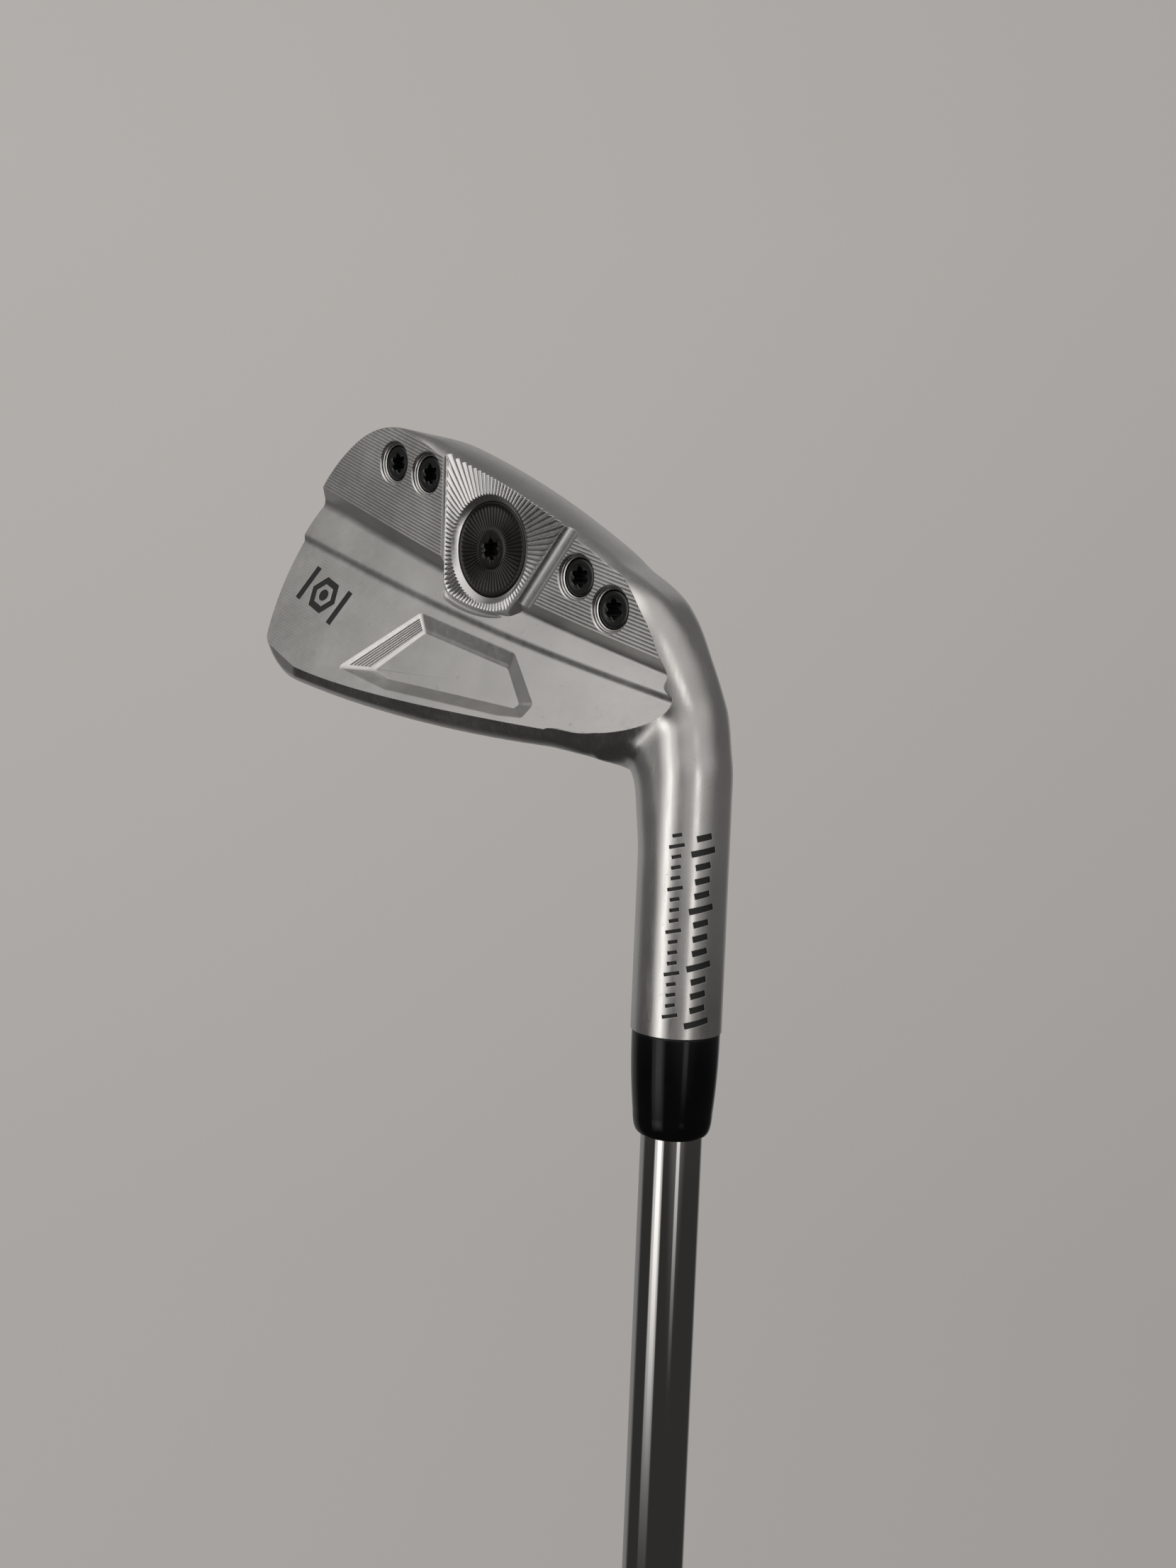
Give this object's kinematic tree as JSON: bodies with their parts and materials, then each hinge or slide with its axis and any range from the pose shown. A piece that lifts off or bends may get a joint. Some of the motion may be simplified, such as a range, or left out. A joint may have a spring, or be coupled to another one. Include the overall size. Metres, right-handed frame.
{
  "type": "iron golf club",
  "caption": "Right-handed iron golf club: forged muscle-back head with screw-in weights, round hosel, ferrule, stepped chrome shaft and rubber grip.",
  "frame": {"origin": "middle of the grip's butt end, at the mouth of its vent hole, on the shaft axis", "axes": "+Z along the shaft from the grip to the head, -Y out of the back of the head, -X towards the toe"},
  "size_m": [0.097, 0.0309, 1.0046],
  "materials": {
    "head_steel": "satin milled",
    "weight_black": "gloss black",
    "mark_paint": "satin black fill",
    "ferrule_plastic": "polished",
    "shaft_chrome": "mirror",
    "epoxy": "cured",
    "grip_rubber": "textured",
    "grip_cap_rubber": "moulded",
    "tape": "matt"
  },
  "bodies": {
    "root": {"head_body": "head_steel", "center_weight": "weight_black", "toe_weight_outer": "weight_black", "toe_weight_inner": "weight_black", "heel_weight_inner": "weight_black", "heel_weight_outer": "weight_black", "toe_mark_paint": "mark_paint", "hosel_mark_paint": "mark_paint", "ferrule": "ferrule_plastic", "shaft": "shaft_chrome", "hosel_epoxy": "epoxy", "grip_sleeve": "grip_rubber", "grip_cap": "grip_cap_rubber", "grip_tape": "tape"}
  },
  "joints": []
}
